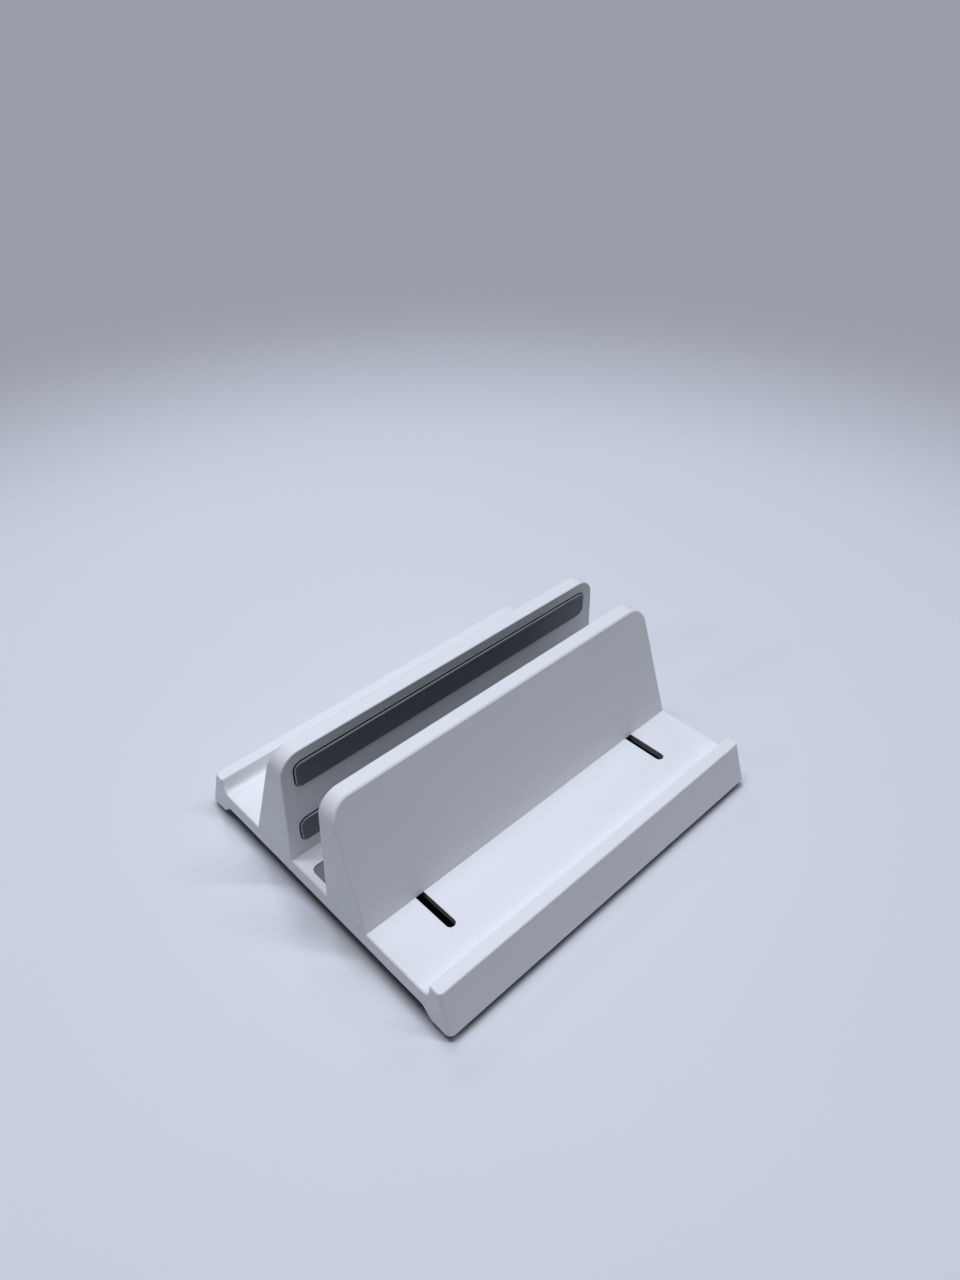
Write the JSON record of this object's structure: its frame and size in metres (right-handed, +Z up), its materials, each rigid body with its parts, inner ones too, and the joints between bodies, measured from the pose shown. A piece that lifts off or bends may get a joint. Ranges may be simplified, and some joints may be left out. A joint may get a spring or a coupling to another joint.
{
  "type": "vertical laptop stand",
  "caption": "Desk stand that holds a closed laptop on edge between a fixed and a sliding wedge-shaped upright, on a base with a raised lip at the front and the rear.",
  "frame": {"origin": "centre of the footprint, on the table that the rubber feet stand on", "axes": "+X from the fixed rear upright towards the sliding front upright, +Y along the uprights, +Z up"},
  "size_m": [0.1574, 0.18, 0.0688],
  "materials": {
    "white_plastic": "fine matt moulded texture",
    "silicone": "matt silicone",
    "foot_rubber": "matt rubber",
    "steel": "zinc plated",
    "brass": "turned"
  },
  "bodies": {
    "stand": {"base": "white_plastic", "rear_upright": "white_plastic", "rear_upper_pad": "silicone", "rear_lower_pad": "silicone", "floor_pad": "silicone", "foot_front_left": "foot_rubber", "foot_front_right": "foot_rubber", "foot_rear_left": "foot_rubber", "foot_rear_right": "foot_rubber", "fixing_screws": "steel", "fixing_washers": "steel", "rear_inserts": "brass"},
    "sliding_upright": {"front_upright": "white_plastic", "front_upper_pad": "silicone", "front_lower_pad": "silicone", "clamp_screws": "steel", "clamp_washers": "steel", "front_inserts": "brass"}
  },
  "joints": [
    {"name": "upright_slide", "type": "slide", "parent": "stand", "child": "sliding_upright", "axis": [1, 0, 0], "range_m": [-0.009, 0.0295]}
  ]
}
